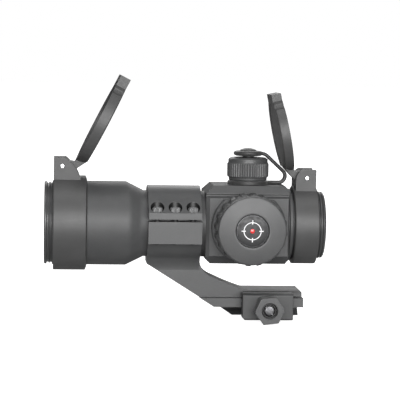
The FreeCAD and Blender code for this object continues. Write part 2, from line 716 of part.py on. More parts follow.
def front_cover_ring():
    x0, x1 = FRONT_COVER_X
    r = FRONT_COVER_R
    band = tube_turned([(x0, 0), (x0, r - 0.2), (x0 + 0.2, r), (x1 - 0.6, r), (x1, r - 1.5), (x1, 0)])
    profile = Part.Face(Part.Wire([
        Part.makePolygon([V(-84.2, 0, 50.0), V(x0, 0, 50.0), V(x0, 0, 66.6), V(-91.0, 0, 66.6)]),
        Part.Arc(V(-91.0, 0, 66.6), V(-87.0, 0, 62.5), V(-84.2, 0, 56.5)).toShape(),
        Part.makeLine(V(-84.2, 0, 56.5), V(-84.2, 0, 50.0)),
    ]))
    return cover_ring(band, ear_pair(profile), FRONT_PIN_X, FRONT_PIN_Z, BELL_R + 0.02)


def rear_cover_ring():
    x0, x1 = REAR_COVER_X
    r = REAR_COVER_R
    band = tube_turned([(x0, 0), (x0, r - 0.6), (x0 + 0.4, r), (x1 - 0.3, r), (x1, r - 0.3), (x1, 0)])
    profile = Part.Face(Part.Wire([
        Part.makePolygon([V(15.5, 0, 62.5), V(REAR_EAR_X, 0, 62.5), V(REAR_EAR_X, 0, 48.0),
                          V(12.6, 0, 48.0), V(12.6, 0, 57.3)]),
        Part.Arc(V(12.6, 0, 57.3), V(13.5, 0, 60.7), V(15.5, 0, 62.5)).toShape(),
    ]))
    return cover_ring(band, ear_pair(profile), REAR_PIN_X, REAR_PIN_Z, TUBE_R + 0.02)


def hinge_pin(pin_x, pin_z):
    half = EAR_OUTER_Y + 0.25
    pin = turned([(0, -half), (PIN_R - 0.2, -half), (PIN_R, -half + 0.2), (PIN_R, half - 0.2),
                  (PIN_R - 0.2, half), (0, half)])
    for side in (-1, 1):
        pin = pin.cut(Part.makeSphere(0.45, V(0, 0, side * (half + 0.15))))
    pin.rotate(V(0, 0, 0), V(1, 0, 0), 90)
    pin.translate(V(pin_x, 0, pin_z))
    return pin


def hinge_spring(pin_x, pin_z):
    """Four closed turns tied by a short bar stand for the wound torsion spring."""
    major = 1.7
    minor = 0.22
    turns = [torus(major, minor, -0.9 + 0.6 * i) for i in range(4)]
    spring = join(rod(V(major, 0, -0.9), V(0, 0, 1), minor * 0.8, 1.8), *turns)
    spring.rotate(V(0, 0, 0), V(1, 0, 0), 90)
    spring.translate(V(pin_x, 0, pin_z))
    return spring


# ---- all nodes ----------------------------------------------------------------------------------
def turret_nodes(name, tilt_deg):
    makers = {
        "turret_base": turret_base, "dial": turret_dial, "dial_clip": dial_clip,
        "plunger": turret_plunger, "cap": turret_cap, "cap_button": cap_button,
        "tether": turret_tether,
    }
    return {f"{name}_{piece}": mounted(make(), TURRET_X, tilt_deg) for piece, make in makers.items()}


def knob_nodes():
    makers = (
        knob_base, detent_ball, detent_spring, brightness_knob, knob_clip, switch_wiper,
        switch_board, battery, battery_contact_spring, battery_cap, battery_cap_o_ring, knob_badge,
    )
    return {make.__name__: mounted(make(), KNOB_X, 90) for make in makers}


def all_nodes():
    makers = (
        main_housing, front_lock_ring, inner_tube, objective_lens, lens_retaining_ring,
        gimbal_ring, led_holder, led_emitter, bias_spring, rear_window, rear_window_seal,
        eyepiece_ring, ring_cap, ring_screws, mount_base, clamp_plate, clamp_bolt, clamp_nut,
        front_cover_ring, front_cover_lid, rear_cover_ring, rear_cover_lid,
    )
    nodes = {make.__name__: make() for make in makers}
    nodes["gimbal_pins"] = pivot_pins(V(0, 1, 0), 15.9, 18.6)
    nodes["tube_pins"] = pivot_pins(V(0, 0, 1), 14.1, 16.9)
    nodes["front_hinge_pin"] = hinge_pin(FRONT_PIN_X, FRONT_PIN_Z)
    nodes["rear_hinge_pin"] = hinge_pin(REAR_PIN_X, REAR_PIN_Z)
    nodes["front_hinge_spring"] = hinge_spring(FRONT_PIN_X, FRONT_PIN_Z)
    nodes["rear_hinge_spring"] = hinge_spring(REAR_PIN_X, REAR_PIN_Z)
    nodes.update(turret_nodes("elevation", 0))
    nodes.update(turret_nodes("windage", -90))
    nodes.update(knob_nodes())
    return nodes


os.makedirs("parts", exist_ok=True)
for node, shape in all_nodes().items():
    solids = shape.Solids
    print(f"{node:24s} solids {len(solids)} valid {shape.isValid()} volume {shape.Volume:.1f}")
    shape.exportStep(f"parts/{node}.step")
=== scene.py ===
import math

import bmesh
import bpy
from mathutils import Matrix, Vector


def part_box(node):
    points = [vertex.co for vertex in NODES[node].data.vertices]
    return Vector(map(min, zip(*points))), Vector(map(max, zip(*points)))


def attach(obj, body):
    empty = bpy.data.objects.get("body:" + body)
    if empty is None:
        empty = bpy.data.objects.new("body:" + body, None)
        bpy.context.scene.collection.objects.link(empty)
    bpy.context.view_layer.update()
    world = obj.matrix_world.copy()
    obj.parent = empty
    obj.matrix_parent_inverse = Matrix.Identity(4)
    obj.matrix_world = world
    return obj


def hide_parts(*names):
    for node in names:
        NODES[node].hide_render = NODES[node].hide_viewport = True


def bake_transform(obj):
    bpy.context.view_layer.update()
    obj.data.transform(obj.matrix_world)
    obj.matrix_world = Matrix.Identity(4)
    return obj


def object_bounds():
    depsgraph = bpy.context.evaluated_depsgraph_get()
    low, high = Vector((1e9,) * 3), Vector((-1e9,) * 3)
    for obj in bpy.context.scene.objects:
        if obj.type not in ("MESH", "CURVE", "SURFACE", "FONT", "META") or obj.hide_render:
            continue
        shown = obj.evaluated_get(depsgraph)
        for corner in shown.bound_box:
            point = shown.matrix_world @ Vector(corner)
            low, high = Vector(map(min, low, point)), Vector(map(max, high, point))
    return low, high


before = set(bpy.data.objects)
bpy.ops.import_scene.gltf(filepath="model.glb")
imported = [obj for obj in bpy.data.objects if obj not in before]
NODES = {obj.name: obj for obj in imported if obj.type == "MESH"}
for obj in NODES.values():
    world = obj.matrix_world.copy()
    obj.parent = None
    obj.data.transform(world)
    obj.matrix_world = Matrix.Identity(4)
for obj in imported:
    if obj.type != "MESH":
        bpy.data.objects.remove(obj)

CAD_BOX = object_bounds()
MM = 0.001

# The sight's own axis: the line of its tube.
AXIS = Vector((0, 0, 37.0)) * MM

# ---- camera: lens in mm, places in metres; seen from a little left and above, rolled clockwise ----
LENS = 164.3
CAMERA_DISTANCE = 0.830
CAMERA_TARGET = Vector((-0.0301, 0.0, 0.04775))
YAW = math.radians(-4.4)
PITCH = math.radians(4.6)
ROLL = math.radians(0.95)
NEAREST = 0.05
FARTHEST = 50

# ---- stage -----------------------------------------------------------------------------------------
# Each lamp: name, offset from the part's middle in metres, width and height in metres, watts.
LAMPS = (
    ("front_box", (0.05, -1.25, 0.1), (1.25, 1.0), 35.0),
    ("back_box", (0.1, 1.2, 0.7), (1.0, 0.6), 5.0),
    ("top_box", (0.0, -0.3, 1.1), (0.9, 0.6), 4.5),
)
ROOM_LIGHT = 0.17
FLOOR_GLOW = 0.95
FLOOR_HALF_WIDTH = 6.0
# The faintly mottled card that the camera sees, and the darker card that lights the part from below.
FLOOR_SEEN = ((0.88, 0.88, 0.88, 1), (0.92, 0.92, 0.92, 1))
FLOOR_UNSEEN = (0.5, 0.5, 0.5, 1)

# ---- edges of CAD nodes: broken wherever faces meet more sharply than EDGE_ANGLE -------------------
EDGE_WIDTH_MM = 0.16
OWN_EDGE_WIDTH_MM = {
    "ring_cap": 0.34,
    "mount_base": 0.3,
    "clamp_plate": 0.3,
    "clamp_nut": 0.1,
    "main_housing": 0.24,
}
EDGE_ANGLE = math.radians(28)
WELD_DISTANCE = 0.001 * MM

# ---- ring screws: two rows of three, each head in a pocket a little wider than itself --------------
SCREW_PITCH_MM = 8.0
SCREW_HEAD_R_MM = 2.3
# The pocket radius and its fade also bound the painted shade laid on the ring in each pocket.
POCKET_R_MM = 2.98
POCKET_FADE_MM = 0.12

# Noise seldom leaves this range, so maps from noise start and end there.
NOISE_RANGE = (0.3, 0.7)


def add_camera():
    """The photograph's camera, turned about its own line of sight by ROLL."""
    level = math.cos(PITCH)
    back = Vector((math.sin(YAW) * level, -math.cos(YAW) * level, math.sin(PITCH)))
    right = (-back).cross(Vector((0, 0, 1))).normalized()
    up = right.cross(-back)
    rolled_right = math.cos(ROLL) * right + math.sin(ROLL) * up
    rolled_up = -math.sin(ROLL) * right + math.cos(ROLL) * up
    data = bpy.data.cameras.new("camera")
    data.lens = LENS
    data.clip_start = NEAREST
    data.clip_end = FARTHEST
    camera = bpy.data.objects.new("camera", data)
    bpy.context.scene.collection.objects.link(camera)
    axes = Matrix((rolled_right, rolled_up, back)).transposed().to_4x4()
    axes.translation = CAMERA_TARGET + back * CAMERA_DISTANCE
    camera.matrix_world = axes
    bpy.context.scene.camera = camera


# ---- material graphs -------------------------------------------------------------------------------
class Graph:
    """Short calls for building one material's nodes round a Principled shader."""

    def __init__(self, name, roughness=0.5, **sockets):
        """sockets are the shader's inputs by name, with an underscore for each space."""
        self.material = bpy.data.materials.new(name)
        self.material.use_nodes = True
        self.tree = self.material.node_tree
        self.tree.nodes.clear()
        output = self.tree.nodes.new("ShaderNodeOutputMaterial")
        self.shader = self.tree.nodes.new("ShaderNodeBsdfPrincipled")
        self.shader.inputs["Roughness"].default_value = roughness
        for socket, value in sockets.items():
            self.shader.inputs[socket.replace("_", " ")].default_value = value
        self.tree.links.new(self.shader.outputs["BSDF"], output.inputs["Surface"])
        self.place = self.add("ShaderNodeTexCoord").outputs["Object"]

    def add(self, kind, links=None, **settings):
        """A new node with its settings and with values or other sockets fed to its inputs."""
        node = self.tree.nodes.new(kind)
        for key, value in settings.items():
            setattr(node, key, value)
        for socket, source in (links or {}).items():
            self.feed(node.inputs[socket], source)
        return node

    def feed(self, socket, source):
        """Links the source to an input, or sets the input where the source is a plain value."""
        if isinstance(source, bpy.types.NodeSocket):
            self.tree.links.new(source, socket)
        else:
            socket.default_value = source

    def math(self, operation, a, b=0.0):
        return self.add("ShaderNodeMath", {0: a, 1: b}, operation=operation).outputs[0]

    def noise(self, size_mm, detail=3.0, distortion=0.0):
        """Cloudy noise whose largest blobs are about size_mm across."""
        scale = 1.0 / (size_mm * MM)
        links = {"Vector": self.place, "Scale": scale, "Detail": detail, "Distortion": distortion}
        return self.add("ShaderNodeTexNoise", links).outputs["Fac"]

    def spread(self, value, low, high, to_low, to_high):
        """Maps low..high to to_low..to_high, clamped at both ends."""
        links = {"Value": value, "From Min": low, "From Max": high, "To Min": to_low, "To Max": to_high}
        return self.add("ShaderNodeMapRange", links).outputs["Result"]

    def mix(self, share, first, second):
        """A colour between first, at share 0, and second, at share 1."""
        node = self.add("ShaderNodeMix", data_type="RGBA")
        self.feed(node.inputs[0], share)
        self.feed(node.inputs[6], first)
        self.feed(node.inputs[7], second)
        return node.outputs[2]

    def edges(self, radius_mm):
        """1 on edges and corners, 0 on open faces, from how far a rounded normal turns."""
        flat = 0.985
        sharp = 0.86
        rounded = self.add("ShaderNodeBevel", {"Radius": radius_mm * MM}, samples=6).outputs["Normal"]
        plain = self.add("ShaderNodeNewGeometry").outputs["Normal"]
        turn = self.add("ShaderNodeVectorMath", {0: rounded, 1: plain}, operation="DOT_PRODUCT")
        return self.spread(turn.outputs["Value"], flat, sharp, 0.0, 1.0)

    def bump(self, height, depth_mm, under=None):
        """A normal from a height, laid over the normal under it where there is one."""
        links = {"Height": height, "Distance": depth_mm * MM, "Strength": 1.0}
        if under is not None:
            links["Normal"] = under
        return self.add("ShaderNodeBump", links).outputs["Normal"]

    def lathe_rings(self, centre, axis, pitch_mm):
        """Fine turning marks: rings about an axis on round sides and on flat ends alike."""
        moved = self.add("ShaderNodeVectorMath", {0: self.place, 1: centre}, operation="SUBTRACT")
        parts = self.add("ShaderNodeSeparateXYZ", {0: moved.outputs["Vector"]})
        others = [parts.outputs[i] for i in range(3) if i != axis]
        squares = [self.math("MULTIPLY", part, part) for part in others]
        radius = self.math("SQRT", self.math("ADD", *squares))
        travel = self.math("ADD", parts.outputs[axis], radius)
        phase = self.math("MULTIPLY", travel, 2 * math.pi / (pitch_mm * MM))
        return self.math("SINE", phase)

    def colour(self, source):
        self.feed(self.shader.inputs["Base Color"], source)

    def roughness(self, source):
        self.feed(self.shader.inputs["Roughness"], source)

    def normal(self, source):
        self.feed(self.shader.inputs["Normal"], source)


def grey(level, warm=0.0):
    """A grey, made redder by a positive warm and bluer by a negative one."""
    return (level * (1 + warm), level, level * (1 - warm), 1.0)


def painted_pocket_shade(g):
    """1 within each of the ring's six screw pocket outlines, 0 outside: the mask for the painted shade
    that darkens each pocket.
    """
    low, high = (Vector(corner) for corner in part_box("ring_screws"))
    parts = g.add("ShaderNodeSeparateXYZ", {0: g.place})
    pitch = SCREW_PITCH_MM * MM
    row = high.y - SCREW_HEAD_R_MM * MM
    along = g.math("SUBTRACT", parts.outputs["X"], (low.x + high.x) / 2 - pitch * 1.5)
    along = g.math("SUBTRACT", g.math("FLOORED_MODULO", along, pitch), pitch / 2)
    across = g.math("SUBTRACT", g.math("ABSOLUTE", parts.outputs["Y"]), row)
    squares = [g.math("MULTIPLY", part, part) for part in (along, across)]
    reach = g.math("SQRT", g.math("ADD", *squares))
    return g.spread(reach, POCKET_R_MM * MM, (POCKET_R_MM + POCKET_FADE_MM) * MM, 1.0, 0.0)


def coated_metal(name, level, roughness, grain_mm=0.14, grain_depth_mm=0.004, edge_highlight_gain=1.9, rings=None,
                 pocket_shade=False):
    """Anodised or oxide-coated metal: blasted grain, cloudy colour, painted highlights on the edges.

    The edge gain is how many times paler the painted edge highlight is.  rings adds turning marks,
    given as a point on the axis, the axis as 0, 1 or 2, and the marks' pitch and depth in mm.  Where
    asked, the ring's screw pocket areas get near-black painted shade."""
    g = Graph(name, Specular_IOR_Level=0.5)
    cloud = g.noise(9.0, detail=4.0)
    fine = g.noise(0.6, detail=3.0)
    grain = g.noise(grain_mm, detail=2.0)
    patches = g.spread(cloud, *NOISE_RANGE, 0.0, 1.0)
    base = g.mix(patches, grey(level * 0.9, -0.02), grey(level * 1.1, -0.01))
    speck = g.mix(g.spread(fine, 0.35, 0.75, 0.0, 0.35), base, grey(level * 1.35, -0.01))
    # Painted highlight: edges made paler by the edge gain and broken up by noise; the same mask makes
    # them a little smoother.
    edge_highlight = g.math("MULTIPLY", g.edges(0.28), g.spread(g.noise(1.6), 0.3, 0.62, 0.35, 1.0))
    face = g.mix(edge_highlight, speck, grey(level * edge_highlight_gain))
    # Painted shade: near black inside the ring's screw pocket areas.
    if pocket_shade:
        face = g.mix(painted_pocket_shade(g), face, grey(0.006))
    g.colour(face)
    rough = g.spread(fine, *NOISE_RANGE, roughness - 0.035, roughness + 0.035)
    g.roughness(g.math("SUBTRACT", rough, g.math("MULTIPLY", edge_highlight, 0.08)))
    normal = g.bump(grain, grain_depth_mm)
    if rings is not None:
        centre, axis, pitch_mm, depth_mm = rings
        normal = g.bump(g.lathe_rings(centre, axis, pitch_mm), depth_mm, under=normal)
    g.normal(normal)
    return g.material


def polymer(name, level, roughness):
    """Moulded nylon with a fine spark-eroded texture and painted highlights on the edges."""
    cell_mm = 0.35
    g = Graph(name, Specular_IOR_Level=0.45)
    links = {"Vector": g.place, "Scale": 1.0 / (cell_mm * MM)}
    cells = g.add("ShaderNodeTexVoronoi", links, feature="SMOOTH_F1")
    pits = g.math("MULTIPLY", cells.outputs["Distance"], 0.6)
    texture = g.math("ADD", pits, g.noise(0.12, detail=2.0))
    cloud = g.noise(7.0, detail=3.0)
    base = g.mix(g.spread(cloud, *NOISE_RANGE, 0.0, 1.0), grey(level * 0.92), grey(level * 1.08))
    # Painted highlight: edges 1.6 times paler, broken up by noise.
    edge_highlight = g.math("MULTIPLY", g.edges(0.22), g.spread(g.noise(2.0), 0.35, 0.7, 0.3, 1.0))
    g.colour(g.mix(edge_highlight, base, grey(level * 1.6)))
    g.roughness(g.spread(g.noise(1.1), *NOISE_RANGE, roughness - 0.04, roughness + 0.05))
    g.normal(g.bump(texture, 0.006))
    return g.material


def rubber(name, level, roughness):
    """Moulded rubber: smooth, faintly dusty in places."""
    g = Graph(name, Specular_IOR_Level=0.4)
    g.shader.inputs["Sheen Weight"].default_value = 0.15
    g.shader.inputs["Sheen Roughness"].default_value = 0.5
    dust = g.math("MULTIPLY", g.spread(g.noise(2.4, detail=5.0), 0.5, 0.75, 0.0, 1.0), 0.5)
    g.colour(g.mix(dust, grey(level), grey(level * 1.7)))
    g.roughness(g.spread(g.noise(0.9), *NOISE_RANGE, roughness - 0.05, roughness + 0.06))
    g.normal(g.bump(g.noise(0.25, detail=3.0), 0.006))
    return g.material


def bare_metal(name, colour, roughness):
    """Polished or turned metal with fine scratches and tarnish."""
    g = Graph(name, Metallic=1.0)
    tarnish = g.spread(g.noise(1.8, detail=5.0), 0.4, 0.7, 0.0, 0.45)
    darker = tuple(c * 0.62 for c in colour[:3]) + (1.0,)
    g.colour(g.mix(tarnish, colour, darker))
    g.roughness(g.spread(g.noise(0.5, detail=4.0), *NOISE_RANGE, roughness * 0.7, roughness * 1.4))
    g.normal(g.bump(g.noise(0.3, detail=6.0, distortion=1.5), 0.0025))
    return g.material


def glass(name, tint, film_nm, film_ior):
    """Coated glass: the thin film gives the coloured reflection, with faint smears on top."""
    g = Graph(name, roughness=0.02, IOR=1.52, Transmission_Weight=1.0)
    g.shader.inputs["Thin Film Thickness"].default_value = film_nm
    g.shader.inputs["Thin Film IOR"].default_value = film_ior
    edge = g.spread(g.noise(9.0, detail=2.0), *NOISE_RANGE, 0.0, 1.0)
    g.colour(g.mix(edge, tint, tuple(c * 0.93 for c in tint[:3]) + (1.0,)))
    g.roughness(g.spread(g.noise(1.5, detail=5.0), 0.45, 0.8, 0.01, 0.05))
    return g.material


def board():
    """Green circuit board with raised traces."""
    g = Graph("board", roughness=0.35)
    traces = g.add("ShaderNodeTexBrick", {"Vector": g.place, "Scale": 600.0, "Mortar Size": 0.03})
    g.colour(g.mix(traces.outputs["Fac"], (0.01, 0.09, 0.03, 1), (0.04, 0.2, 0.08, 1)))
    g.normal(g.bump(traces.outputs["Fac"], 0.02))
    return g.material


def gloss(name, colour, speck_colour, roughness, **sockets):
    """Glossy paint or plastic with a few dust specks."""
    g = Graph(name, **sockets)
    specks = g.spread(g.noise(0.35, detail=4.0), 0.66, 0.74, 0.0, 0.5)
    g.colour(g.mix(specks, colour, speck_colour))
    g.roughness(g.spread(g.noise(1.4, detail=4.0), *NOISE_RANGE, roughness * 0.7, roughness * 1.5))
    g.normal(g.bump(g.noise(1.2, detail=2.0), 0.004))
    return g.material


# ---- axes of the turned parts, read from the frame -------------------------------------------------
def middle(node):
    """The middle of a CAD node's box."""
    low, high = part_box(node)
    return (Vector(low) + Vector(high)) / 2


def standing(base, tilt_deg=0.0):
    """A frame whose Z is a part's own axis: 0 up, 90 to the sight's left, -90 to its right."""
    return Matrix.Translation(base) @ Matrix.Rotation(math.radians(tilt_deg), 4, "X")


def on_axis(node, tilt_deg):
    """A part's frame with its origin where the part's own axis meets the sight's."""
    return standing(Vector((middle(node).x, 0, AXIS.z)), tilt_deg)


KNOB = on_axis("knob_badge", 90)
TURRETS = {
    "elevation": on_axis("elevation_turret_base", 0),
    "windage": on_axis("windage_turret_base", -90),
}
BOLT = standing(Vector((middle("clamp_bolt").x, 0, middle("clamp_bolt").z)), 90)

# ---- finishes: one for each material slot, and closer ones for some nodes --------------------------
MATERIALS = {
    "housing": coated_metal("anodised_housing", 0.051, 0.52),
    "mount": coated_metal("anodised_mount", 0.052, 0.43),
    "turned_trim": coated_metal("anodised_turned", 0.045, 0.34, rings=(AXIS, 0, 0.4, 0.002)),
    "cover_polymer": polymer("cover_nylon", 0.052, 0.46),
    "tether_rubber": rubber("strap_rubber", 0.03, 0.42),
    "seal_rubber": rubber("seal_rubber", 0.012, 0.4),
    "black_steel": coated_metal("black_oxide_steel", 0.08, 0.26, grain_mm=0.3, grain_depth_mm=0.002,
                                edge_highlight_gain=4.0),
    "bright_steel": bare_metal("bright_steel", (0.72, 0.73, 0.75, 1), 0.16),
    "inner_black": coated_metal("flat_black_inside", 0.015, 0.6),
    "lens_glass": glass("coated_lens", (1.0, 0.86, 0.82, 1), 420.0, 2.1),
    "window_glass": glass("coated_window", (0.96, 1.0, 0.98, 1), 260.0, 1.38),
    "brass": bare_metal("turned_brass", (0.68, 0.47, 0.2, 1), 0.25),
    "board": board(),
    "badge_black": gloss("badge_lacquer", (0.008, 0.008, 0.009, 1), (0.05, 0.05, 0.05, 1), 0.4),
    "led_red": gloss("led_epoxy", (0.7, 0.02, 0.015, 1), (0.9, 0.2, 0.15, 1), 0.1, Coat_Weight=1.0),
    "cell_steel": bare_metal("nickel_cell", (0.66, 0.65, 0.62, 1), 0.22),
}
KNOB_FINISH = coated_metal("anodised_knob", 0.05, 0.4, rings=(KNOB.translation, 1, 0.25, 0.005))
CAP_FINISH = {}
BASE_FINISH = {}
for turret, axis in (("elevation", 2), ("windage", 1)):
    marks = (TURRETS[turret].translation, axis, 0.25, 0.004)
    CAP_FINISH[turret] = coated_metal(f"anodised_{turret}_cap", 0.055, 0.36, rings=marks)
    BASE_FINISH[turret] = coated_metal(f"anodised_{turret}_base", 0.085, 0.36, rings=marks)
# The ring's finish paints near-black shade into its screw pocket areas.
RING_FINISH = coated_metal("anodised_ring", 0.06, 0.42, pocket_shade=True)
FINISHES = {
    "ring_cap": RING_FINISH,
    "brightness_knob": KNOB_FINISH,
    "knob_base": KNOB_FINISH,
    "clamp_plate": coated_metal("anodised_clamp", 0.036, 0.46),
    "clamp_nut": coated_metal("black_oxide_nut", 0.062, 0.3, grain_mm=0.3, grain_depth_mm=0.002,
                              edge_highlight_gain=3.0),
}
for turret, finish in CAP_FINISH.items():
    FINISHES[turret + "_cap"] = finish
    FINISHES[turret + "_turret_base"] = BASE_FINISH[turret]
SATIN_STEEL = bare_metal("satin_steel", (0.15, 0.15, 0.155, 1), 0.42)
BADGE_WHITE = gloss("badge_print", (0.75, 0.75, 0.76, 1), (0.6, 0.6, 0.6, 1), 0.35)
BADGE_RED = gloss("badge_dot", (0.62, 0.015, 0.012, 1), (0.5, 0.05, 0.04, 1), 0.2, Coat_Weight=0.8)


# ---- CAD nodes that stay: broken edges and a finish for each slot ----------------------------------
def soften(piece, width_mm):
    """Breaks the sharp edges and keeps the open faces' normals flat."""
    bevel = piece.modifiers.new("broken_edges", "BEVEL")
    bevel.width = width_mm * MM
    bevel.segments = 2
    bevel.limit_method = "ANGLE"
    bevel.angle_limit = EDGE_ANGLE
    bevel.miter_outer = "MITER_ARC"
    even = piece.modifiers.new("even_normals", "WEIGHTED_NORMAL")
    even.weight = 90
    even.keep_sharp = True


def dress_node(node):
    """Gives a CAD node its own finish, or else its slot's, and broken edges."""
    piece = NODES[node]
    slot_name = piece.data.materials[0].name.split(".")[0]
    piece.material_slots[0].material = FINISHES.get(node, MATERIALS[slot_name])
    weld = piece.modifiers.new("weld", "WELD")
    weld.merge_threshold = WELD_DISTANCE
    soften(piece, OWN_EDGE_WIDTH_MM.get(node, EDGE_WIDTH_MM))


# ---- detailed pieces that take the place of plain CAD nodes ----------------------------------------
def spun(form, rings, count, frame_matrix, closed=False):
    """Skins a stack of rings about the frame's Z, closed back to the first ring where asked.

    A ring is (height, radius) in millimetres, and the radius may be a function of the angle.
    Radius 0 closes an end to a point."""
    loops = []
    for height, radius in rings:
        if radius == 0:
            loops.append([form.verts.new(frame_matrix @ Vector((0, 0, height * MM)))])
            continue
        loop = []
        for i in range(count):
            angle = 2 * math.pi * i / count
            r = radius(angle) if callable(radius) else radius
            point = Vector((r * math.cos(angle), r * math.sin(angle), height)) * MM
            loop.append(form.verts.new(frame_matrix @ point))
        loops.append(loop)
    pairs = list(zip(loops, loops[1:])) + ([(loops[-1], loops[0])] if closed else [])
    for lower, upper in pairs:
        for i in range(count):
            k = (i + 1) % count
            order = ((lower, i), (lower, k), (upper, k), (upper, i))
            corners = [loop[j % len(loop)] for loop, j in order]
            form.faces.new(list(dict.fromkeys(corners)))


def squared(wave, power):
    """A sine or cosine pushed out towards 1 or -1, which squares up a round section."""
    return math.copysign(abs(wave) ** power, wave)


def swept(form, centres, half_widths, half_thick, frame_matrix, sides=20):
    """Sweeps a rounded flat section along a path in the frame's XZ plane."""
    loops = []
    for i, centre in enumerate(centres):
        ahead = centres[min(i + 1, len(centres) - 1)] - centres[max(i - 1, 0)]
        ahead.normalize()
        across = Vector((-ahead.z, 0, ahead.x))
        loop = []
        for k in range(sides):
            angle = 2 * math.pi * k / sides
            wide = squared(math.cos(angle), 0.55) * half_widths[i]
            thick = squared(math.sin(angle), 0.7) * half_thick
            point = (centre + across * thick + Vector((0, wide, 0))) * MM
            loop.append(form.verts.new(frame_matrix @ point))
        loops.append(loop)
    for lower, upper in zip(loops, loops[1:]):
        for k in range(sides):
            n = (k + 1) % sides
            form.faces.new((lower[k], lower[n], upper[n], upper[k]))
    form.faces.new(loops[0])
    form.faces.new(list(reversed(loops[-1])))


def finished_piece(name, form, material, smooth_deg=35):
    """Turns the form into an object that is smooth wherever faces meet at less than smooth_deg."""
    bmesh.ops.recalc_face_normals(form, faces=form.faces)
    mesh = bpy.data.meshes.new(name)
    form.to_mesh(mesh)
    form.free()
    mesh.shade_smooth()
    mesh.set_sharp_from_angle(angle=math.radians(smooth_deg))
    mesh.materials.append(material)
    piece = bpy.data.objects.new(name, mesh)
    bpy.context.scene.collection.objects.link(piece)
    return piece


def knurl(radius, depth, ribs):
    """Radius of a knurled rim: flat-topped ribs with grooves of the given depth."""
    return lambda angle: radius - depth * (0.5 - 0.5 * math.cos(ribs * angle)) ** 2


def hexagon(flats):
    """Radius of a hexagon with the given distance across flats."""
    return lambda angle: flats / 2 / math.cos((angle + math.pi / 6) % (math.pi / 3) - math.pi / 6)


def add_ring_screws():
    """Six cap screws: knurled head with a hex socket, and a plain shank with a chamfered end."""
    low, high = (Vector(corner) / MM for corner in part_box("ring_screws"))
    centre = (low + high) / 2
    head_r = SCREW_HEAD_R_MM
    top = high.z
    rim = knurl(head_r, depth=0.22, ribs=18)
    socket = hexagon(flats=2.5)
    head = [
        (top - 2.55, 0), (top - 2.55, rim), (top - 0.45, rim), (top - 0.3, head_r - 0.2),
        (top, head_r - 0.45), (top, 1.5), (top - 0.25, socket), (top - 1.5, socket), (top - 1.75, 0),
    ]
    shank = [(low.z, 0), (low.z, 0.95), (low.z + 0.3, 1.24), (top - 2.5, 1.24), (top - 2.5, 0)]
    shanks = bmesh.new()
    for column in (-1, 0, 1):
        for side in (-1, 1):
            base = Vector((centre.x + SCREW_PITCH_MM * column, side * (high.y - head_r), 0)) * MM
            place = standing(base)
            form = bmesh.new()
            spun(form, head, 108, place)
            spun(shanks, shank, 40, place)
            name = f"ring_screw_{'left' if side < 0 else 'right'}_{column + 2}"
            piece = finished_piece(name, form, MATERIALS["black_steel"])
            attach(piece, "sight_body")
    # The shanks are real, but take the near-black inside finish as painted shade, so the ring's slit
    # and the ends below the block read black.
    piece = finished_piece("ring_screw_shanks", shanks, MATERIALS["inner_black"])
    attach(piece, "sight_body")
    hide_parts("ring_screws")


def add_thread(form, frame_matrix, root, crest, pitch, start, turns, count=32):
    """One helical ridge on a shaft: sloping up, flat at the crest, sloping down to the next turn."""
    track = [(0.0, root), (0.38 * pitch, crest), (0.62 * pitch, crest), (pitch, root)]
    columns = []
    for i in range(turns * count + 1):
        angle = 2 * math.pi * i / count
        rise = start + pitch * i / count
        column = []
        for height, r in track:
            point = Vector((r * math.cos(angle), r * math.sin(angle), rise + height)) * MM
            column.append(form.verts.new(frame_matrix @ point))
        columns.append(column)
    for near, far in zip(columns, columns[1:]):
        for k in range(len(track) - 1):
            form.faces.new((near[k], far[k], far[k + 1], near[k + 1]))
    for column in (columns[0], columns[-1]):
        form.faces.new(column)


def slot_cutter(tip):
    """A bar across the bolt's end, turned as the screwdriver slot is."""
    slot_angle = math.radians(-50)
    length = 6 * MM
    width = 0.5 * MM
    depth = 0.9 * MM
    form = bmesh.new()
    bmesh.ops.create_cube(form, size=1.0)
    turn = Matrix.Rotation(slot_angle, 4, "Z") @ Matrix.Translation(Vector((0, 0, tip)) * MM)
    bar = Matrix.Diagonal((length, width, depth, 1))
    bmesh.ops.transform(form, matrix=BOLT @ turn @ bar, verts=form.verts)
    mesh = bpy.data.meshes.new("slot_cutter")
    form.to_mesh(mesh)
    form.free()
    return bpy.data.objects.new("slot_cutter", mesh)


def apply_modifiers(piece):
    """Keeps the modified mesh and drops the modifiers and their cutters."""
    cutters = [m.object for m in piece.modifiers if m.type == "BOOLEAN"]
    for cutter in cutters:
        bpy.context.scene.collection.objects.link(cutter)
    graph = bpy.context.evaluated_depsgraph_get()
    mesh = bpy.data.meshes.new_from_object(piece.evaluated_get(graph))
    piece.modifiers.clear()
    piece.data = mesh
    for cutter in cutters:
        bpy.data.objects.remove(cutter)


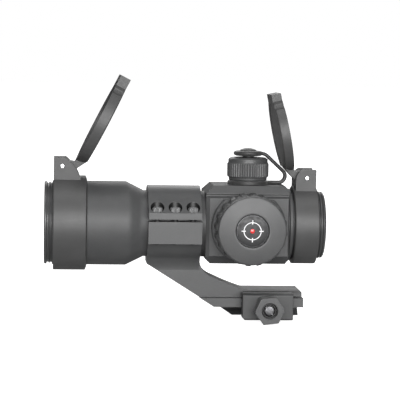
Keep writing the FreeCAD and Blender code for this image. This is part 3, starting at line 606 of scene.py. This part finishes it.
def add_clamp_bolt():
    """Cross bolt: round head with a hex socket, threaded shank, bright faced end with a slot."""
    low, high = (Vector(corner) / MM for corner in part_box("clamp_bolt"))
    head, tip = -high.y, -low.y
    form = bmesh.new()
    socket = hexagon(flats=4.0)
    rings = [
        (head + 1.9, 0), (head + 1.9, socket), (head + 0.25, socket), (head, 2.6), (head, 3.9),
        (head + 0.35, 4.2), (head + 3.0, 4.2), (head + 3.0, 2.42), (tip - 0.8, 2.42), (tip - 0.8, 0),
    ]
    spun(form, rings, 72, BOLT)
    add_thread(form, BOLT, root=2.4, crest=2.48, pitch=0.8, start=tip - 7.6, turns=8)
    shank = finished_piece("clamp_bolt_shank", form, MATERIALS["black_steel"])
    form = bmesh.new()
    rings = [
        (tip - 0.8, 0), (tip - 0.8, 2.38), (tip - 0.45, 2.38), (tip - 0.05, 2.0), (tip, 1.9), (tip, 0),
    ]
    spun(form, rings, 64, BOLT)
    end = finished_piece("clamp_bolt_end", form, SATIN_STEEL)
    cut = end.modifiers.new("slot", "BOOLEAN")
    cut.object = slot_cutter(tip)
    apply_modifiers(end)
    for piece in (shank, end):
        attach(piece, "sight_body")
    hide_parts("clamp_bolt")


def add_locking_ring_painted_shade():
    """Black nylon ring in the nut's counterbore, round the bolt's end; its near-black colour is painted
    shade for the shadowed counterbore.
    """
    far = -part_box("clamp_nut")[0][1] / MM
    form = bmesh.new()
    rings = [
        (far - 3.95, 2.56), (far - 2.9, 2.56), (far - 2.5, 2.75), (far - 2.5, 3.2), (far - 2.75, 3.55),
        (far - 0.9, 3.6), (far - 0.9, 3.68), (far - 3.95, 3.68),
    ]
    spun(form, rings, 72, BOLT, closed=True)
    # Near-black seal rubber: painted shade filling the counterbore.
    ring = finished_piece("nut_locking_ring", form, MATERIALS["seal_rubber"])
    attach(ring, "clamp_nut")


def add_hinge_spring(cover):
    """Torsion spring round the hinge pin with both legs."""
    node = f"{cover}_hinge_spring"
    centre = middle(node)
    coil_radius = 1.72 * MM
    wire_radius = 0.24 * MM
    half_length = 1.25 * MM
    turns = 4.75
    steps = 150
    points = []
    for i in range(steps + 1):
        share = i / steps
        angle = 2 * math.pi * turns * share - math.pi / 2
        across = half_length * (2 * share - 1)
        turn = Vector((coil_radius * math.cos(angle), across, coil_radius * math.sin(angle)))
        points.append(centre + turn)
    first_leg = points[0] + Vector((1.5, 0, -0.1)) * MM
    last_leg = points[-1] + Vector((0.1, 0, -1.5)) * MM
    points = [first_leg] + points + [last_leg]
    curve = bpy.data.curves.new(node + "_wire", "CURVE")
    curve.dimensions = "3D"
    curve.bevel_depth = wire_radius
    curve.bevel_resolution = 4
    curve.use_fill_caps = True
    line = curve.splines.new("POLY")
    line.points.add(len(points) - 1)
    for point, target in zip(points, line.points):
        target.co = point.to_4d()
    wire = bpy.data.objects.new(node + "_wire", curve)
    curve.materials.append(MATERIALS["bright_steel"])
    bpy.context.scene.collection.objects.link(wire)
    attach(wire, "sight_body")
    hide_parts(node)


def arc(centre, radius, start_deg, end_deg, steps):
    """Points along an arc in the XZ plane, both ends included."""
    points = []
    for i in range(steps + 1):
        angle = math.radians(start_deg + (end_deg - start_deg) * i / steps)
        points.append(centre + Vector((math.cos(angle), 0, math.sin(angle))) * radius)
    return points


def add_tether(turret):
    """Moulded strap: base ring, fold, climbing run and the disc that the cap turns in."""
    place = TURRETS[turret]
    form = bmesh.new()
    base_ring = [(18.35, 6.95), (18.35, 8.9), (18.6, 9.2), (19.75, 9.2), (20.0, 8.9), (20.0, 6.95)]
    spun(form, base_ring, 96, place, closed=True)
    disc = [
        (31.2, 2.65), (31.2, 5.5), (31.35, 6.0), (31.7, 6.45), (32.2, 6.68), (32.7, 6.6), (33.15, 6.25),
        (33.42, 5.7), (33.5, 5.2), (33.5, 2.65),
    ]
    spun(form, disc, 96, place, closed=True)
    fold = Vector((14.0, 0, 22.2))
    fold_radius = 3.0
    crest_radius = 4.5
    climb = 47.0
    climb_length = 9.84
    leave = arc(fold, fold_radius, -90, climb, 18)
    uphill = Vector((-math.sin(math.radians(climb)), 0, math.cos(math.radians(climb))))
    crest = leave[-1] + uphill * climb_length
    outward = Vector((uphill.z, 0, -uphill.x))
    level = arc(crest - outward * crest_radius, crest_radius, climb, 90, 12)
    start = Vector((7.6, 0, 19.2))
    inner = Vector((3.6, 0, level[-1].z))
    path = [start.lerp(leave[0], i / 8) for i in range(8)] + leave
    path += [leave[-1].lerp(crest, i / 10) for i in range(1, 10)] + level
    path += [level[-1].lerp(inner, i / 3) for i in range(1, 4)]
    half_width = 2.0
    half_thick = 0.84
    flare = 1.6
    flared_points = 7
    widths = []
    for i in range(len(path)):
        from_end = min(i, len(path) - 1 - i) / flared_points
        widths.append(half_width + flare * max(0.0, 1 - from_end) ** 2)
    swept(form, path, widths, half_thick, place)
    rubber_finish = MATERIALS["tether_rubber"]
    strap = finished_piece(turret + "_strap", form, rubber_finish, smooth_deg=40)
    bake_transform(strap)
    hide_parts(turret + "_tether")


def add_battery_cap():
    """Battery cap: threaded plug, thin rim, lightly crowned face and a crisp badge recess."""
    profile = [
        (30.0, 0), (30.0, 10.5), (27.9, 10.5), (27.9, 11.6), (28.2, 11.92), (31.2, 11.92),
        (31.2, 14.7), (31.55, 15.05), (33.8, 15.1), (34.1, 15.02), (34.3, 14.8), (34.42, 14.4),
        (34.88, 8.4), (34.94, 7.9), (34.88, 7.55), (34.65, 7.35), (34.1, 7.25), (33.4, 7.2), (33.4, 0),
    ]
    form = bmesh.new()
    spun(form, profile, 160, KNOB)
    cap = finished_piece("battery_cap_body", form, KNOB_FINISH, smooth_deg=32)
    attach(cap, "battery_cap")
    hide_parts("battery_cap")


def add_badge():
    """Lacquered disc in a bright rim, with a plain reticle: ring, four ticks and a red dot."""
    disc_rings = [(33.4, 0), (33.4, 6.8), (33.72, 6.8), (33.8, 6.5), (33.9, 3.8), (33.93, 0)]
    rim_rings = [(33.4, 6.75), (33.9, 6.75), (34.04, 6.82), (34.04, 6.95), (33.9, 7.08), (33.4, 7.1)]
    reticle_rings = [(33.82, 3.6), (33.97, 3.6), (33.97, 3.95), (33.82, 3.95)]
    dot_rings = [(33.88, 0), (33.88, 1.05), (34.0, 0.9), (34.05, 0)]
    form = bmesh.new()
    spun(form, disc_rings, 96, KNOB)
    disc = finished_piece("badge_disc", form, MATERIALS["badge_black"], smooth_deg=60)
    form = bmesh.new()
    spun(form, rim_rings, 96, KNOB, closed=True)
    rim = finished_piece("badge_rim", form, SATIN_STEEL, smooth_deg=60)
    form = bmesh.new()
    spun(form, reticle_rings, 72, KNOB, closed=True)
    tick_place = Matrix.Translation(Vector((3.9, 0, 33.88)) * MM)
    tick_size = Matrix.Diagonal((1.9 * MM, 0.4 * MM, 0.16 * MM, 1))
    for i in range(4):
        turn = KNOB @ Matrix.Rotation(math.radians(90 * i), 4, "Z")
        tick = bmesh.ops.create_cube(form, size=1.0)["verts"]
        bmesh.ops.transform(form, matrix=turn @ tick_place @ tick_size, verts=tick)
    marks = finished_piece("badge_marks", form, BADGE_WHITE)
    form = bmesh.new()
    spun(form, dot_rings, 32, KNOB)
    dot = finished_piece("badge_dot", form, BADGE_RED, smooth_deg=60)
    for piece in (disc, rim, marks, dot):
        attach(piece, "battery_cap")
    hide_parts("knob_badge")


# ---- stage -----------------------------------------------------------------------------------------
def add_area(name, place, aim, size, power):
    """A rectangular lamp at place, facing aim."""
    data = bpy.data.lights.new(name, "AREA")
    data.shape = "RECTANGLE"
    data.size, data.size_y = size
    data.energy = power
    light = bpy.data.objects.new(name, data)
    light.location = place
    light.rotation_mode = "QUATERNION"
    light.rotation_quaternion = (Vector(aim) - Vector(place)).to_track_quat("-Z", "Y")
    bpy.context.scene.collection.objects.link(light)


def add_floor():
    """Pale card.  It looks white, but throws little light back up, as a dark table would."""
    mesh = bpy.data.meshes.new("floor")
    form = bmesh.new()
    bmesh.ops.create_grid(form, x_segments=8, y_segments=8, size=FLOOR_HALF_WIDTH)
    form.to_mesh(mesh)
    form.free()
    floor = bpy.data.objects.new("floor", mesh)
    floor.location.z = CAD_BOX[0].z
    bpy.context.scene.collection.objects.link(floor)
    g = Graph("floor_card", roughness=0.8, Specular_IOR_Level=0.1)
    seen = g.add("ShaderNodeLightPath").outputs["Is Camera Ray"]
    grain = g.mix(g.noise(400.0), *FLOOR_SEEN)
    g.colour(g.mix(seen, FLOOR_UNSEEN, grain))
    g.shader.inputs["Emission Color"].default_value = (1, 1, 1, 1)
    g.feed(g.shader.inputs["Emission Strength"], g.math("MULTIPLY", seen, FLOOR_GLOW))
    mesh.materials.append(g.material)


def add_world():
    """White where the camera sees it, and dim as a light."""
    world = bpy.data.worlds.new("studio")
    world.use_nodes = True
    tree = world.node_tree
    background = tree.nodes["Background"]
    background.inputs["Color"].default_value = (1, 1, 1, 1)
    seen = tree.nodes.new("ShaderNodeLightPath").outputs["Is Camera Ray"]
    strength = tree.nodes.new("ShaderNodeMapRange")
    strength.inputs["To Min"].default_value = ROOM_LIGHT
    strength.inputs["To Max"].default_value = 1.0
    tree.links.new(seen, strength.inputs["Value"])
    tree.links.new(strength.outputs["Result"], background.inputs["Strength"])
    bpy.context.scene.world = world


def add_stage():
    """Floor, surround and lamps, shown in plain colours so that the card stays white."""
    add_floor()
    add_world()
    centre = (CAD_BOX[0] + CAD_BOX[1]) / 2
    for name, offset, size, power in LAMPS:
        add_area(name, centre + Vector(offset), centre, size, power)
    bpy.context.scene.view_settings.view_transform = "Standard"


add_camera()
for node_name in NODES:
    dress_node(node_name)
add_ring_screws()
add_clamp_bolt()
add_locking_ring_painted_shade()
for cover_name in ("front", "rear"):
    add_hinge_spring(cover_name)
for turret_name in TURRETS:
    add_tether(turret_name)
add_battery_cap()
add_badge()
add_stage()
